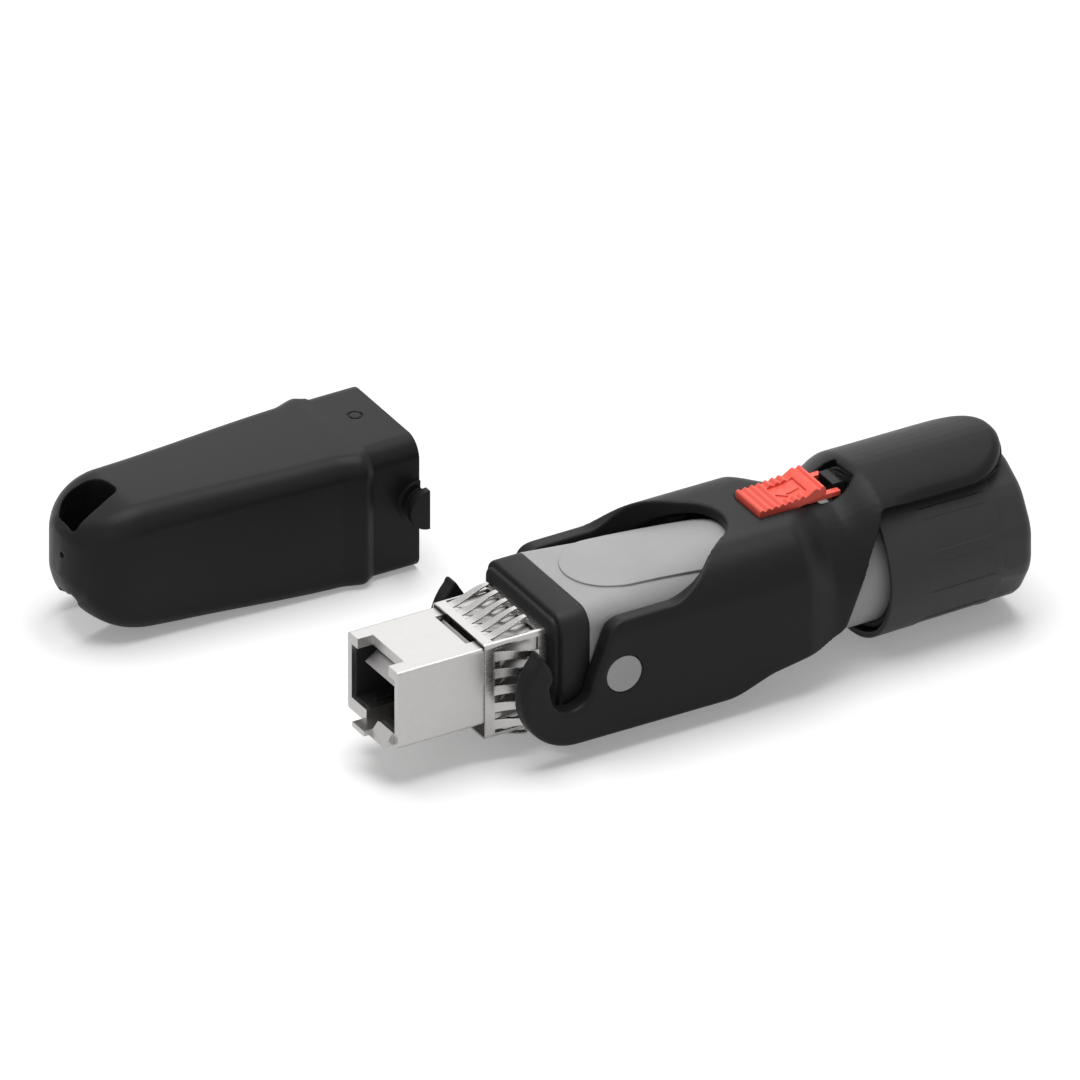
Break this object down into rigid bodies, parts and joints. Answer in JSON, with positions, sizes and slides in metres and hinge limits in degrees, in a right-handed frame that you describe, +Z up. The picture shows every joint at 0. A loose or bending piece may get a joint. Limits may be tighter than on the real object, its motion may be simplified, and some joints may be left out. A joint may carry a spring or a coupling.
{
  "type": "ethernet plug",
  "caption": "Outdoor network plug with a metal jack shell, a hooked coupling lever with lock slider, a cable gland nut and a separate protective cap.",
  "frame": {"origin": "centre of the jack's mouth, on the plug's axis, in the plane of the shell's front face", "axes": "+X along the plug from the mouth to the cable nut, +Z up with the lever's tongue on top, +Y towards the cap that lies beside it"},
  "size_m": [0.1211, 0.0811, 0.0272],
  "materials": {
    "cast_metal": "nickel plated die casting, satin",
    "spring_steel": "plated spring sheet, satin",
    "leaf_steel": "dull plated sheet",
    "contact_metal": "gold flashed contact wire",
    "insert_plastic": "black moulded insert",
    "seal_rubber": "black moulded rubber",
    "body_plastic": "light grey moulded plastic, satin",
    "pin_plastic": "light grey moulded plastic, satin",
    "lever_plastic": "black moulded plastic, fine satin",
    "catch_plastic": "black moulded plastic",
    "slider_plastic": "red moulded plastic, satin",
    "nut_plastic": "dark grey moulded plastic, satin",
    "cap_plastic": "black moulded plastic, satin"
  },
  "bodies": {
    "plug": {"body_o_ring": "seal_rubber", "cable_seal": "seal_rubber", "clamp_cage": "catch_plastic", "contact_insert": "insert_plastic", "contact_spring_1": "contact_metal", "contact_spring_2": "contact_metal", "contact_spring_3": "contact_metal", "contact_spring_4": "contact_metal", "contact_spring_5": "contact_metal", "contact_spring_6": "contact_metal", "contact_spring_7": "contact_metal", "contact_spring_8": "contact_metal", "flange_seal": "seal_rubber", "front_shell": "cast_metal", "lever_catch": "catch_plastic", "pivot_pin_left": "pin_plastic", "pivot_pin_right": "pin_plastic", "plug_body": "body_plastic", "protective_cap": "cap_plastic", "shield_ferrule": "leaf_steel", "shield_leaf": "leaf_steel", "spring_collar": "spring_steel", "termination_block": "insert_plastic", "thrust_washer": "leaf_steel", "wire_blade_1": "contact_metal", "wire_blade_2": "contact_metal", "wire_blade_3": "contact_metal", "wire_blade_4": "contact_metal", "wire_blade_5": "contact_metal", "wire_blade_6": "contact_metal", "wire_blade_7": "contact_metal", "wire_blade_8": "contact_metal", "wire_guide": "insert_plastic"},
    "lever": {"coupling_lever": "lever_plastic"},
    "slider": {"lock_slider": "slider_plastic"},
    "nut": {"gland_nut": "nut_plastic"}
  },
  "joints": [
    {"name": "lever_hinge", "type": "hinge", "parent": "plug", "child": "lever", "pos_m": [0.033, 0, 0], "axis": [0, -1, 0], "range_deg": [0, 75]},
    {"name": "lock_slide", "type": "slide", "parent": "lever", "child": "slider", "axis": [1, 0, 0], "range_m": [0, 0.0018]},
    {"name": "nut_turn", "type": "hinge", "parent": "plug", "child": "nut", "pos_m": [0.09, 0, 0], "axis": [1, 0, 0], "continuous": true}
  ]
}
